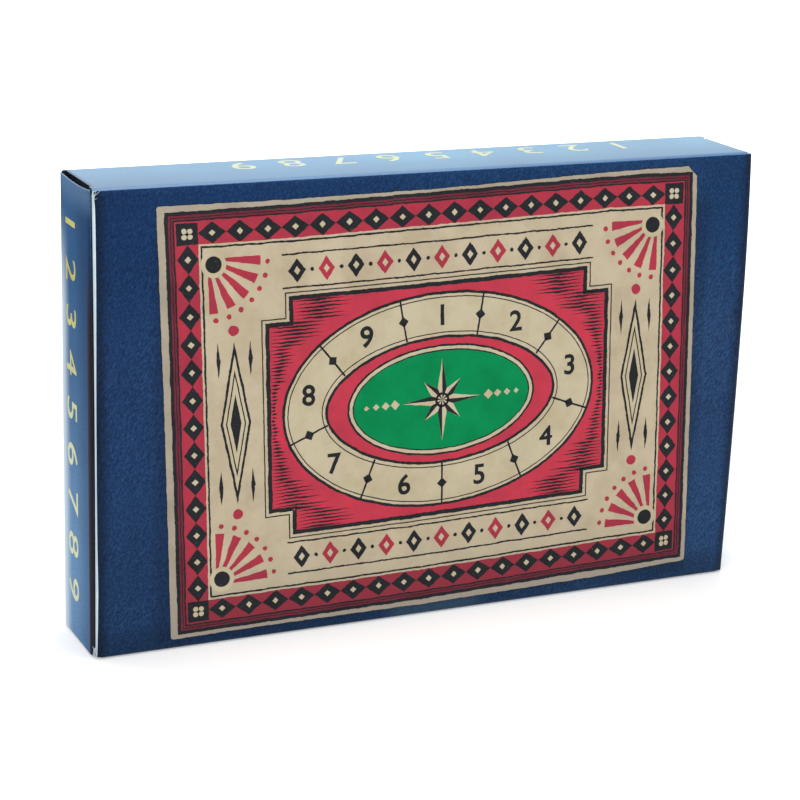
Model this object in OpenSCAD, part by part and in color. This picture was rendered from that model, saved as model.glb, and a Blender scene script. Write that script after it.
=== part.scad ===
// Shut the box dice game, packed in its reverse tuck carton. Millimetres.
// The carton stands on its long edge: X runs left to right, the printed front faces -Y
// and Z is up. The origin is on the ground, under the middle of the carton.

/* [Carton] */
// Outer length, left to right
carton_l = 200; // [180:1:260]
// Outer depth, front to back
carton_d = 30; // [28:1:45]
// Outer height as it stands
carton_h = 130; // [115:1:170]
// Thickness of the laminated board
board_t = 1.5; // [1:0.1:1.7]
// Outer radius of a crease
crease_r = 2; // [0.8:0.1:2.2]
// How far the cut edge beside a tuck flap stays behind the end of the carton
edge_inset = 0.8; // [0.1:0.1:1.2]
// How far the back panel's cut edge at the seam stays above the ground
seam_inset = 0.3; // [0.1:0.1:0.8]
// Width of the glued seam flap inside the back panel
seam_w = 14; // [8:1:20]
// How steeply the ends of the seam flap taper, in degrees
seam_taper = 30; // [10:1:45]

/* [End closures] */
// Gap between board faces that pass each other
flap_gap = 0.3; // [0.2:0.05:0.5]
// Gap between an end panel and the dust flaps behind it
end_gap = 0.8; // [0.3:0.1:1.2]
// How much shorter an end panel is than the carton, at its top and bottom
end_short = 0.6; // [0.2:0.1:1.5]
// Radius at the corners of an end panel
end_corner = 1.4; // [0.5:0.1:2]
// Length of a tuck flap
tuck_l = 12; // [8:0.5:13]
// Lean of a closed tuck flap into the carton, in degrees
tuck_lean = 5; // [5:0.5:8]
// How far a tuck flap folds in while its end swings open, in degrees
tuck_fold = 36; // [30:1:40]
// Radius at the free corners of a tuck flap
tuck_corner = 8; // [3:0.5:8]
// Space above and below a tuck flap
tuck_side = 0.6; // [0.4:0.1:2]
// Length of a dust flap
dust_l = 24; // [16:1:26]
// Side clearance at the root of a dust flap
dust_side = 1; // [0.8:0.1:2]
// Straight root of a dust flap before its hinge side shoulder
dust_root = 2; // [1:0.5:3]
// Depth of the 45 degree shoulder beside the end panel's crease
dust_shoulder = 11; // [10:0.5:12]
// Draft of a dust flap's edge beside the tuck flap
dust_draft = 3; // [2.5:0.5:5]
// Radius at the free corners of a dust flap
dust_corner = 2; // [1:0.5:2.5]

/* [Tray] */
// Free length at each end of the tray in the closed carton
tray_play = 2.8; // [1:0.1:6]
// Free height over the tray in the closed carton
tray_headroom = 3; // [1:0.5:6]
// Gap under pieces that stand or lie on a surface
seat_gap = 0.2; // [0.1:0.05:0.3]
// Thickness of the wooden rails
rail_t = 7; // [5:0.5:9]
// Radius along the rim of the rails
rim_r = 1; // [0.4:0.1:2]
// Thickness of the plywood base
base_t = 3; // [2:0.5:4]
// Height of the base above the underside of the rails
base_up = 1.5; // [1:0.5:3]
// Depth of the groove that holds the base
groove_l = 3; // [2:0.5:4]
// Clearance of the base in its groove
groove_gap = 0.1; // [0.05:0.05:0.3]
// Thickness of the green playing felt
felt_t = 0.8; // [0.5:0.1:1.5]
// Width of the ledge that carries the tile tips
ledge_w = 11; // [8:1:16]
// How far the ledge shows in front of the tile tips
ledge_lip = 3; // [1:0.5:5]

/* [Number tiles] */
// Length of a tile
tile_l = 38; // [30:1:42]
// Thickness of a tile
tile_t = 6; // [4:0.5:7]
// Gap beside each tile
tile_gap = 0.8; // [0.4:0.1:1.5]
// Length of a tile behind its rod
tile_tail = 5; // [4.5:0.5:6]
// Gap between the tail of a tile and the upper rail
tail_gap = 1.5; // [1:0.1:3]
// Height under a tile that its tail turns in
tail_swing = 4; // [3.5:0.1:5]
// Diameter of the steel rod
rod_d = 3; // [2:0.25:3.5]
// Radial clearance of a tile on the rod
rod_clear = 0.05; // [0.03:0.01:0.1]
// Depth of the rod's seat in each side rail
rod_seat = 4; // [2:0.5:4.5]
// Radius of the eased edges of a tile
tile_ease = 1; // [0.3:0.1:1.5]

/* [Dice and leaflet] */
// Size of a die
die_s = 12; // [10:0.5:13]
// Diameter across the rounded corners of a die
die_ball = 16.6; // [15:0.1:18]
// Diameter of a pip
pip_d = 2; // [1.4:0.1:2.2]
// Depth of a pip
pip_deep = 0.4; // [0.2:0.1:0.6]
// Distance from the middle of a face to its outer pips
pip_out = 3.1; // [2.5:0.1:3.3]
// Place of the left die, from the middle of the tray
die_left_x = -22; // [-60:1:-12]
// Place of the right die, from the middle of the tray
die_right_x = 17; // [12:1:60]
// Length of the folded rules leaflet
leaflet_l = 140; // [100:1:140]
// Height of the folded rules leaflet
leaflet_h = 98; // [70:1:100]
// Place of the leaflet's middle
leaflet_x = -5; // [-10:1:0]
// Thickness of the leaflet's paper
paper_t = 0.2; // [0.1:0.05:0.2]
// Gap between the leaves of the leaflet
leaf_gap = 0.3; // [0.2:0.1:0.4]

/* [Hidden] */

$fn = 64;
over = 1;                    // how far a cutter reaches past the board
crease_gap = 0.02;           // air left in the mitre of a crease
square_mitre = 45;

navy = "#22406b";
blue = "#46699a";
pale_blue = "#9dbbdc";
plain = "#dcd8cc";
beech = "#dcbf8e";
plywood = "#cfae7c";
green = "#0a9150";
steel = "#b9bdc1";
cream = "#e8dcc0";
paper = "#f1eee6";

// A crease bends about the middle of its outer arc
pivot_in = crease_r * (1 - sqrt(1 / 2));
// Half the angle that is left inside the tuck crease when it is folded the furthest
tuck_mitre = (90 - tuck_lean - tuck_fold) / 2;

// Outer face of a dust flap, and of a tuck flap, from the middle of the carton
dust_face = carton_l / 2 - board_t - end_gap;
tuck_face = carton_d / 2 - board_t - flap_gap;
// Depth that a leaning tuck flap takes up inside the front or the back panel
tuck_zone = 2 * flap_gap + board_t + tuck_l * sin(tuck_lean);

tray_l = carton_l - 2 * (2 * board_t + end_gap + tray_play);
tray_w = carton_h - 2 * board_t - seat_gap - tray_headroom;
tray_d = carton_d - 2 * (board_t + tuck_zone);
tray_z = board_t + seat_gap;
field_l = tray_l - 2 * rail_t;
base_top = base_up + base_t;

// Rod axis: its distance from the tray's lower edge and its height over the tray's back
rod_v = tray_w - rail_t - tail_gap - tile_tail;
rod_w = base_top + tail_swing + tile_t / 2;
tile_count = 9;
tile_w = (field_l - (tile_count + 1) * tile_gap) / tile_count;
tip_v = rod_v - (tile_l - tile_tail);
ledge_v = tip_v - ledge_lip;
ledge_t = tail_swing - seat_gap;

leaflet_t = 2 * paper_t + leaf_gap;
leaflet_y = (tray_d / 2 + carton_d / 2 - 2 * board_t - leaflet_t) / 2;

function unit(v) = v / norm(v);

// Points of the arc that rounds corner b, between its neighbours a and c
function corner_arc(a, b, c, r, steps = 8) =
  let (
    u = unit(a - b),
    v = unit(c - b),
    half = acos(u * v) / 2,
    centre = b + unit(u + v) * r / sin(half),
    from = b + u * r / tan(half) - centre,
    to = b + v * r / tan(half) - centre
  )
  [for (i = [0:steps]) centre + r * unit(from * (1 - i / steps) + to * i / steps)];

// Outline with each corner rounded by its own radius, 0 for a sharp one
function rounded(points, radii) =
  let (n = len(points))
  [for (i = [0:n - 1]) each
    radii[i] > 0
      ? corner_arc(points[(i + n - 1) % n], points[i], points[(i + 1) % n], radii[i])
      : [points[i]]];

// ---- Folded board ----

// What a crease takes off a board that runs along +X with its outer face on y = 0:
// the round of the outer corner, and all past the mitre through the bending line
module crease_section(mitre) {
  top = board_t + over;
  polygon([
    [-over, -over],
    [pivot_in + crease_gap, pivot_in],
    [pivot_in + crease_gap + (top - pivot_in) / tan(mitre), top],
    [-over, top]
  ]);
  difference() {
    translate([-over, -over]) square(over + crease_r);
    translate([crease_r, crease_r]) circle(crease_r);
  }
}

// The same cutter along the edge of a board w wide and h high that lies on z = 0
module crease_cut(edge, w, h, mitre) {
  if (edge == "left")
    translate([0, h + over, 0]) rotate([90, 0, 0])
      linear_extrude(h + 2 * over) crease_section(mitre);
  if (edge == "right") translate([w, 0, 0]) mirror([1, 0, 0]) crease_cut("left", w, h, mitre);
  if (edge == "low") mirror([1, -1, 0]) crease_cut("left", h, w, mitre);
  if (edge == "high") translate([0, h, 0]) mirror([0, 1, 0]) crease_cut("low", w, h, mitre);
}

// Flat board, outer face down, with its creased edges as [edge, mitre] and the radii of
// its corners, from the origin's corner on
module board(w, h, creases, corners = [0, 0, 0, 0]) {
  difference() {
    linear_extrude(board_t) polygon(rounded([[0, 0], [w, 0], [w, h], [0, h]], corners));
    for (c = creases) crease_cut(c[0], w, h, c[1]);
  }
}

module at_front() { translate([0, -carton_d / 2, 0]) mirror([0, 1, -1]) children(); }
module at_back() { translate([0, carton_d / 2, 0]) rotate([90, 0, 0]) children(); }
module at_top() { translate([0, 0, carton_h]) mirror([0, 0, 1]) children(); }
module upside_down() { translate([0, 0, carton_h]) mirror([0, 0, 1]) children(); }
module other_end() { rotate([0, 0, 180]) children(); }

module front_panel() {
  color(navy) at_front() translate([-carton_l / 2 + edge_inset, 0, 0])
    board(carton_l - edge_inset, carton_h,
      [["right", square_mitre], ["high", square_mitre], ["low", square_mitre]]);
}

module back_panel() {
  color(navy) at_back() translate([-carton_l / 2, seam_inset, 0])
    board(carton_l - edge_inset, carton_h - seam_inset,
      [["left", square_mitre], ["high", square_mitre]]);
}

// A narrow panel, creased along its sides, and at its ends over the dust flaps' roots
module narrow_panel(depth, long_creases) {
  root = dust_outer() - dust_inner();
  difference() {
    translate([-dust_face, -carton_d / 2, 0]) board(2 * dust_face, depth, long_creases);
    for (turn = [0, 180])
      rotate(turn) translate([-dust_face, dust_inner() - crease_gap, 0])
        intersection() {
          crease_cut("left", 2 * dust_face, root, square_mitre);
          translate([-over, 0, -over])
            cube([2 * board_t + over, root + 2 * crease_gap, board_t + 2 * over]);
        }
  }
}

module top_panel() {
  color(pale_blue) at_top()
    narrow_panel(carton_d, [["low", square_mitre], ["high", square_mitre]]);
}

module bottom_panel() {
  color(navy) narrow_panel(carton_d - board_t, [["low", square_mitre], ["high", square_mitre]]);
}

// The seam flap turns up from the bottom panel and is glued inside the back panel
module seam_flap() {
  left = -(dust_face - 2 * board_t);
  right = carton_l / 2 - tuck_l - board_t - over;
  slope = seam_w * tan(seam_taper);
  color(plain) translate([0, carton_d / 2 - board_t, 0]) rotate([90, 0, 0]) difference() {
    linear_extrude(board_t)
      polygon([[left, 0], [right, 0], [right - slope, seam_w], [left + slope, seam_w]]);
    translate([left, 0, 0]) crease_cut("low", right - left, seam_w, square_mitre);
  }
}

// ---- End closures, drawn at the left end and turned about for the right end ----

module end_panel() {
  color(blue) translate([-carton_l / 2, -tuck_face, end_short]) rotate([90, 0, 90])
    board(tuck_face + carton_d / 2, carton_h - 2 * end_short,
      [["left", tuck_mitre], ["right", square_mitre]],
      [end_corner, end_corner, end_corner, end_corner]);
}

module tuck_flap() {
  h = carton_h - 2 * board_t - 2 * tuck_side;
  crease = [-carton_l / 2 + pivot_in, -tuck_face + pivot_in, 0];
  color(navy) translate(crease) rotate([0, 0, tuck_lean]) translate(-crease)
    translate([-carton_l / 2, -tuck_face, board_t + tuck_side]) mirror([0, 1, -1])
      board(tuck_l, h, [["left", tuck_mitre]], [0, tuck_corner, tuck_corner, 0]);
}

// Where the root of a dust flap begins and ends, front to back
function dust_inner() = -tuck_face + board_t + dust_side;
function dust_outer() = carton_d / 2 - board_t - dust_side;

module top_dust_flap() {
  shoulder = dust_outer() - dust_shoulder;
  outline = rounded(
    [
      [dust_inner(), dust_l],
      [dust_inner(), dust_l / 2],
      [dust_inner() + dust_draft, 0],
      [shoulder, 0],
      [shoulder, dust_l - dust_root - dust_shoulder],
      [dust_outer(), dust_l - dust_root],
      [dust_outer(), dust_l]
    ],
    [0, 0, dust_corner, dust_corner, 0, 0, 0]);
  color(plain) translate([-dust_face, 0, carton_h - dust_l]) rotate([90, 0, 90])
    difference() {
      linear_extrude(board_t) polygon(outline);
      translate([-carton_d / 2, 0, 0]) crease_cut("high", carton_d, dust_l, square_mitre);
    }
}

module bottom_dust_flap() { upside_down() top_dust_flap(); }

// ---- Wooden tray, drawn lying down and stood up in the carton ----

module in_tray() { translate([0, tray_d / 2, tray_z]) rotate([90, 0, 0]) children(); }

module round_off(x, dir) {
  translate([x, tray_d]) mirror([dir < 0 ? 1 : 0, 0]) difference() {
    translate([-over, -rim_r]) square([over + rim_r, rim_r + over]);
    translate([rim_r, -rim_r]) circle(rim_r);
  }
}

// Rail along X with its outer face on y = 0: one moulded section, mitred at both ends
module rail(l) {
  intersection() {
    rotate([90, 0, 90]) linear_extrude(l, center = true) difference() {
      square([rail_t, tray_d]);
      translate([rail_t - groove_l, base_up - groove_gap])
        square([groove_l + over, base_t + 2 * groove_gap]);
      round_off(0, 1);
      round_off(rail_t, -1);
    }
    linear_extrude(tray_d)
      polygon([[-l / 2, 0], [l / 2, 0], [l / 2 - rail_t, rail_t], [-l / 2 + rail_t, rail_t]]);
  }
}

module lower_rail() { color(beech) in_tray() rail(tray_l); }

module upper_rail() {
  color(beech) in_tray() translate([0, tray_w, 0]) mirror([0, 1, 0]) rail(tray_l);
}

module side_rail() {
  difference() {
    translate([-tray_l / 2, tray_w / 2, 0]) mirror([1, -1, 0]) rail(tray_w);
    translate([-field_l / 2 - rod_seat, rod_v, rod_w]) rotate([0, 90, 0])
      cylinder(d = rod_d + 2 * rod_clear, h = rod_seat + over);
  }
}

module left_rail() { color(beech) in_tray() side_rail(); }
module right_rail() { color(beech) in_tray() mirror([1, 0, 0]) side_rail(); }

module tray_base() {
  reach = groove_l - groove_gap;
  color(plywood) in_tray() translate([-field_l / 2 - reach, rail_t - reach, base_up])
    cube([field_l + 2 * reach, tray_w - 2 * rail_t + 2 * reach, base_t]);
}

module playing_felt() {
  color(green) in_tray() translate([-field_l / 2 + seat_gap, rail_t + seat_gap, base_top])
    cube([field_l - 2 * seat_gap, ledge_v - rail_t - 2 * seat_gap, felt_t]);
}

module tile_ledge() {
  color(beech) in_tray() translate([-field_l / 2, ledge_v, base_top])
    cube([field_l, ledge_w, ledge_t]);
}

module tile_rod() {
  l = field_l + 2 * (rod_seat - rod_clear);
  color(steel) in_tray() translate([-l / 2, rod_v, rod_w]) rotate([0, 90, 0])
    cylinder(d = rod_d, h = l);
}

// Tile on its rod: a plan and a side outline crossed, then bored through
module number_tile(number) {
  x = (number - (tile_count + 1) / 2) * (tile_w + tile_gap);
  front = -(tile_l - tile_tail);
  plan = rounded(
    [[-tile_w / 2, front], [tile_w / 2, front], [tile_w / 2, tile_tail], [-tile_w / 2, tile_tail]],
    [tile_ease, tile_ease, tile_ease, tile_ease]);
  side = rounded(
    [[front, -tile_t / 2], [tile_tail, -tile_t / 2], [tile_tail, tile_t / 2], [front, tile_t / 2]],
    [tile_ease, tile_ease, tile_ease, tile_ease]);
  color(beech) in_tray() translate([x, rod_v, rod_w]) difference() {
    intersection() {
      translate([0, 0, -tile_t / 2]) linear_extrude(tile_t) polygon(plan);
      rotate([90, 0, 90]) linear_extrude(tile_w, center = true) polygon(side);
    }
    rotate([0, 90, 0]) cylinder(d = rod_d + 2 * rod_clear, h = tile_w + 2 * over, center = true);
  }
}

// ---- Dice and rules leaflet ----

function pip_spots(n) = concat(
  n % 2 == 1 ? [[0, 0]] : [],
  n > 1 ? [[1, 1], [-1, -1]] : [],
  n > 3 ? [[1, -1], [-1, 1]] : [],
  n == 6 ? [[1, 0], [-1, 0]] : []);

module die_face(n, turn) {
  ball_r = (pip_d * pip_d / 4 + pip_deep * pip_deep) / (2 * pip_deep);
  rotate(turn)
    for (spot = pip_spots(n))
      translate([spot[0] * pip_out, spot[1] * pip_out, die_s / 2 + ball_r - pip_deep])
        sphere(ball_r, $fn = 20);
}

// Die with its opposite faces adding up to seven, lying on the lower rail
module die(x, turn) {
  turns = [[0, 0, 0], [90, 0, 0], [0, 90, 0], [0, -90, 0], [-90, 0, 0], [180, 0, 0]];
  color(cream) in_tray()
    translate([x, rail_t + seat_gap + die_s / 2, base_top + felt_t + seat_gap + die_s / 2])
      rotate(turn) difference() {
        intersection() {
          cube(die_s, center = true);
          sphere(d = die_ball, $fn = 48);
        }
        for (n = [1:6]) die_face(n, turns[n - 1]);
      }
}

module left_die() { die(die_left_x, [0, 0, 0]); }
module right_die() { die(die_right_x, [0, 90, 90]); }

// One folded sheet standing between the tray and the seam flap, with its fold below
module rules_leaflet() {
  r = leaflet_t / 2;
  color(paper) translate([leaflet_x - leaflet_l / 2, leaflet_y, board_t + seat_gap])
    rotate([90, 0, 90]) linear_extrude(leaflet_l) difference() {
      union() {
        translate([0, r]) square([leaflet_t, leaflet_h - r]);
        translate([r, r]) circle(r);
      }
      translate([paper_t, r]) square([leaf_gap, leaflet_h]);
      translate([r, r]) circle(leaf_gap / 2);
    }
}

front_panel();
back_panel();
top_panel();
bottom_panel();
seam_flap();
end_panel();  // left_end_panel
tuck_flap();  // left_tuck_flap
top_dust_flap();  // left_top_dust_flap
bottom_dust_flap();  // left_bottom_dust_flap
other_end() end_panel();  // right_end_panel
other_end() tuck_flap();  // right_tuck_flap
other_end() top_dust_flap();  // right_top_dust_flap
other_end() bottom_dust_flap();  // right_bottom_dust_flap
lower_rail();
upper_rail();
left_rail();
right_rail();
tray_base();
playing_felt();
tile_ledge();
tile_rod();
number_tile(1);  // number_tile_1
number_tile(2);  // number_tile_2
number_tile(3);  // number_tile_3
number_tile(4);  // number_tile_4
number_tile(5);  // number_tile_5
number_tile(6);  // number_tile_6
number_tile(7);  // number_tile_7
number_tile(8);  // number_tile_8
number_tile(9);  // number_tile_9
left_die();
right_die();
rules_leaflet();
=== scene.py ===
import math
import random

import bmesh
import bpy
from mathutils import Matrix, Vector, noise


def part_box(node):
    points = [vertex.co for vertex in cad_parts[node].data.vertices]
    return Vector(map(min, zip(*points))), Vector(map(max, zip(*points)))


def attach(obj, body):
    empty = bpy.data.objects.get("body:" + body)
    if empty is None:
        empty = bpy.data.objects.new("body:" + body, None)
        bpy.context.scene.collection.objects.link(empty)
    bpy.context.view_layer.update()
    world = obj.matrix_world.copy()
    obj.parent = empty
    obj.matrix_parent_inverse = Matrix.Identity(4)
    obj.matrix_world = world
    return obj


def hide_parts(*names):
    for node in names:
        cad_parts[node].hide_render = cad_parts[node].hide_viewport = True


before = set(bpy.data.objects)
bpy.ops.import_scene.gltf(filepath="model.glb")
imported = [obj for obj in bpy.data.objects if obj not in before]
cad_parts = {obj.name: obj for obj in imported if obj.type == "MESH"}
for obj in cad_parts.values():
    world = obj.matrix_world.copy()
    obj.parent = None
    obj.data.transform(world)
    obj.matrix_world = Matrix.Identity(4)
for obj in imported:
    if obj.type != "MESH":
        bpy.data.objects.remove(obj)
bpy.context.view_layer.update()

# Shut the box game in its printed tuck carton. Sizes in the dictionaries are millimetres.
noise.seed_set(11)   # without it the ragged ink edges differ from run to run

# ---- camera, set where the photograph was taken ----
camera = {
    "azimuth": -24.84,       # degrees round from the front, to the left
    "elevation": 16.65,
    "roll": 1.80,
    "distance": 640.0,
    "target": (-11.6, -15.0, 65.8),
    "lens": 103.55,
    "clip": (0.05, 20),      # metres
}


def placeCamera():
    azimuth, elevation = math.radians(camera["azimuth"]), math.radians(camera["elevation"])
    back = Vector((math.sin(azimuth) * math.cos(elevation),
                   -math.cos(azimuth) * math.cos(elevation), math.sin(elevation)))
    right = Vector((0, 0, 1)).cross(back).normalized()
    up = back.cross(right)
    turned = Matrix((right, up, back)).transposed().to_4x4()
    spot = (Vector(camera["target"]) + back * camera["distance"]) / 1000
    lens = bpy.data.cameras.new("camera")
    lens.lens = camera["lens"]
    lens.clip_start, lens.clip_end = camera["clip"]
    eye = bpy.data.objects.new("camera", lens)
    eye.matrix_world = (Matrix.Translation(spot) @ turned
                        @ Matrix.Rotation(math.radians(camera["roll"]), 4, "Z"))
    bpy.context.scene.collection.objects.link(eye)
    bpy.context.scene.camera = eye


placeCamera()
print("camera placed")


# ---- small helpers ----
def linearColour(hexText):
    # sRGB hex as a designer writes it, turned to the linear colour the shaders want
    shares = [int(hexText[i:i + 2], 16) / 255 for i in (1, 3, 5)]
    return [s / 12.92 if s <= 0.04045 else ((s + 0.055) / 1.055) ** 2.4 for s in shares] + [1]


def perSize(millimetres):
    # texture scale on coordinates in metres that gives features of this size
    return 1000 / millimetres


def addNode(tree, kind, settings=None, links=None):
    # settings in lower case are the node's own, the others are its inputs by name or number,
    # where a text is a hex colour
    node = tree.nodes.new("ShaderNode" + kind)
    for key, value in (settings or {}).items():
        if key == "stops":
            while len(node.color_ramp.elements) < len(value):
                node.color_ramp.elements.new(0.5)
            for stop, (place, colour) in zip(node.color_ramp.elements, value):
                stop.position, stop.color = place, linearColour(colour)
        elif isinstance(key, str) and key[0].islower():
            setattr(node, key, value)
        else:
            isColour = isinstance(value, str)
            node.inputs[key].default_value = linearColour(value) if isColour else value
    for key, source in (links or {}).items():
        tree.links.new(source, node.inputs[key])
    return node


def startMaterial(name, roughness, **shaderInputs):
    material = bpy.data.materials.new(name)
    material.use_nodes = True
    tree = material.node_tree
    tree.nodes.clear()
    shader = addNode(tree, "BsdfPrincipled", {"Roughness": roughness, **shaderInputs})
    addNode(tree, "OutputMaterial", links={"Surface": shader.outputs[0]})
    place = addNode(tree, "TexCoord").outputs["Object"]
    return material, tree, shader, place


def finishMaterial(tree, shader, colour, height, strength, depth, sunken=False):
    # links the finished colour, and a relief of this depth in millimetres
    relief = addNode(tree, "Bump", {"Strength": strength, "Distance": depth / 1000,
                                    "invert": sunken}, {"Height": height})
    tree.links.new(colour, shader.inputs["Base Color"])
    tree.links.new(relief.outputs[0], shader.inputs["Normal"])


def comeIn(tree, place, axis, start, end, full=1, easing="SMOOTHSTEP"):
    # 0 as far as start and full from end on, both in millimetres along the axis
    sides = addNode(tree, "SeparateXYZ", links={0: place})
    return addNode(tree, "MapRange", {
        "interpolation_type": easing, "From Min": start / 1000, "From Max": end / 1000,
        "To Max": full}, {"Value": sides.outputs[axis]}).outputs[0]


# ---- printed and raw board ----
def laminatedPrint(name, values):
    # Offset print under a thin embossed laminate: a slanting leather grain about a
    # millimetre across, tone that drifts over some centimetres, pale wear at the folds
    material, tree, shader, place = startMaterial(name, values["roughness"], **{
        "Specular IOR Level": values["gloss"], "Coat Weight": values["coat"],
        "Coat Roughness": values["coatRoughness"]})
    slant = addNode(tree, "Mapping", {
        "vector_type": "TEXTURE", "Rotation": [math.radians(a) for a in values["slant"]],
        "Scale": [s / 1000 for s in values["grain"]]}, {"Vector": place})
    grain = addNode(tree, "TexNoise", {"Scale": 1, "Detail": 2, "Roughness": 0.5,
                                       "Distortion": 0.5}, {"Vector": slant.outputs[0]})
    tone = addNode(tree, "ValToRGB", {"stops": [
        (0.30, values["deep"]), (0.5, values["ground"]), (0.70, values["light"])]},
        {"Fac": grain.outputs["Fac"]})
    drift = addNode(tree, "TexNoise", {"Scale": perSize(38), "Detail": 2}, {"Vector": place})
    cloud = addNode(tree, "ValToRGB", {"stops": [(0.3, "#dfe1e6"), (0.7, "#ffffff")]},
                    {"Fac": drift.outputs["Fac"]})
    colour = addNode(tree, "Mix", {"data_type": "RGBA", "blend_type": "MULTIPLY", 0: 1},
                     {6: tone.outputs[0], 7: cloud.outputs[0]}).outputs[2]
    # slow changes of tone over the panel, each (axis, from mm, to mm, tone at from, tone at to)
    for axis, start, end, toneStart, toneEnd in values["fades"]:
        wash = addNode(tree, "Mix", {"data_type": "RGBA", 6: toneStart, 7: toneEnd},
                       {0: comeIn(tree, place, axis, start, end)})
        colour = addNode(tree, "Mix", {"data_type": "RGBA", "blend_type": "MULTIPLY", 0: 1},
                         {6: colour, 7: wash.outputs[2]}).outputs[2]
    # wear: the attribute is 1 on a fold or an edge and dies away over a millimetre or two
    rub = addNode(tree, "Attribute", {"attribute_name": "rub"}).outputs["Fac"]
    chafe = addNode(tree, "TexNoise", {"Scale": perSize(1.7), "Detail": 4, "Roughness": 0.7},
                    {"Vector": place})
    chafed = addNode(tree, "Math", {"operation": "MULTIPLY"},
                     {0: rub, 1: chafe.outputs["Fac"]})
    worn = addNode(tree, "MapRange", {"From Min": 0.40, "From Max": 0.62,
                                      "To Max": values["wear"]}, {"Value": chafed.outputs[0]})
    colour = addNode(tree, "Mix", {"data_type": "RGBA", 7: values["worn"]},
                     {0: worn.outputs[0], 6: colour}).outputs[2]
    # bands where another colour comes in, each the way it is mixed, the colour, its strength
    # and one or more limits (axis, from mm, to mm) between which it comes in
    for blend, over, strength, *limits in values["bands"]:
        share = comeIn(tree, place, *limits[0], strength)
        for limit in limits[1:]:
            share = addNode(tree, "Math", {"operation": "MULTIPLY"},
                            {0: share, 1: comeIn(tree, place, *limit)}).outputs[0]
        colour = addNode(tree, "Mix", {"data_type": "RGBA", "blend_type": blend, 7: over},
                         {0: share, 6: colour}).outputs[2]
    if "endShade" in values:
        colour = shadeRoundPicture(tree, place, colour, values)
    finishMaterial(tree, shader, colour, grain.outputs["Fac"], 1, values["emboss"])
    return material


def shadeRoundPicture(tree, place, colour, values):
    # painted shade darkens the print towards its two ends, by the folds, and the print darkens
    # round the framed picture
    sides = addNode(tree, "SeparateXYZ", links={0: place})
    away = addNode(tree, "Math", {"operation": "ABSOLUTE"}, {0: sides.outputs["X"]})
    start, end, tone = values["endShade"]
    foldShade = addNode(tree, "MapRange", {
        "interpolation_type": "SMOOTHSTEP", "From Min": start / 1000, "From Max": end / 1000,
        "To Min": 1, "To Max": tone}, {"Value": away.outputs[0]})
    shifted = addNode(tree, "Mapping", {
        "Location": [-c / 1000 for c in values["pictureMiddle"]]}, {"Vector": place})
    pictureAway = addNode(tree, "VectorMath", {"operation": "ABSOLUTE"},
                          {0: shifted.outputs[0]})
    outside = addNode(tree, "VectorMath", {
        "operation": "SUBTRACT", 1: [s / 1000 for s in values["pictureHalf"]]},
        {0: pictureAway.outputs[0]})
    beyond = addNode(tree, "VectorMath", {"operation": "MAXIMUM", 1: (0, 0, 0)},
                     {0: outside.outputs[0]})
    distance = addNode(tree, "VectorMath", {"operation": "LENGTH"}, {0: beyond.outputs[0]})
    pictureShade = addNode(tree, "MapRange", {
        "interpolation_type": "SMOOTHSTEP", "From Max": values["shadeOutside"] / 1000,
        "To Min": values["pictureTone"]}, {"Value": distance.outputs["Value"]})
    shade = addNode(tree, "Math", {"operation": "MULTIPLY"},
                    {0: foldShade.outputs[0], 1: pictureShade.outputs[0]})
    return addNode(tree, "Mix", {"data_type": "RGBA", "blend_type": "MULTIPLY", 0: 1},
                   {6: colour, 7: shade.outputs[0]}).outputs[2]


def rawBoard(name, light, dark, fleck):
    # Recycled greyboard: pale pulp with soft clouds and short darker fibres
    material, tree, shader, place = startMaterial(name, 0.86, **{"Specular IOR Level": 0.2})
    cloud = addNode(tree, "TexNoise", {"Scale": perSize(6), "Detail": 5, "Roughness": 0.65},
                    {"Vector": place})
    ground = addNode(tree, "ValToRGB", {"stops": [(0.3, dark), (0.7, light)]},
                     {"Fac": cloud.outputs["Fac"]})
    fibre = addNode(tree, "TexNoise", {"Scale": perSize(0.5), "Detail": 2, "Distortion": 2.5},
                    {"Vector": place})
    flecks = addNode(tree, "MapRange", {"From Min": 0.66, "From Max": 0.74, "To Max": 0.55},
                     {"Value": fibre.outputs["Fac"]})
    mixed = addNode(tree, "Mix", {"data_type": "RGBA", 7: fleck},
                    {0: flecks.outputs[0], 6: ground.outputs[0]})
    finishMaterial(tree, shader, mixed.outputs[2], fibre.outputs["Fac"], 0.6, 0.08)
    return material


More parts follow.
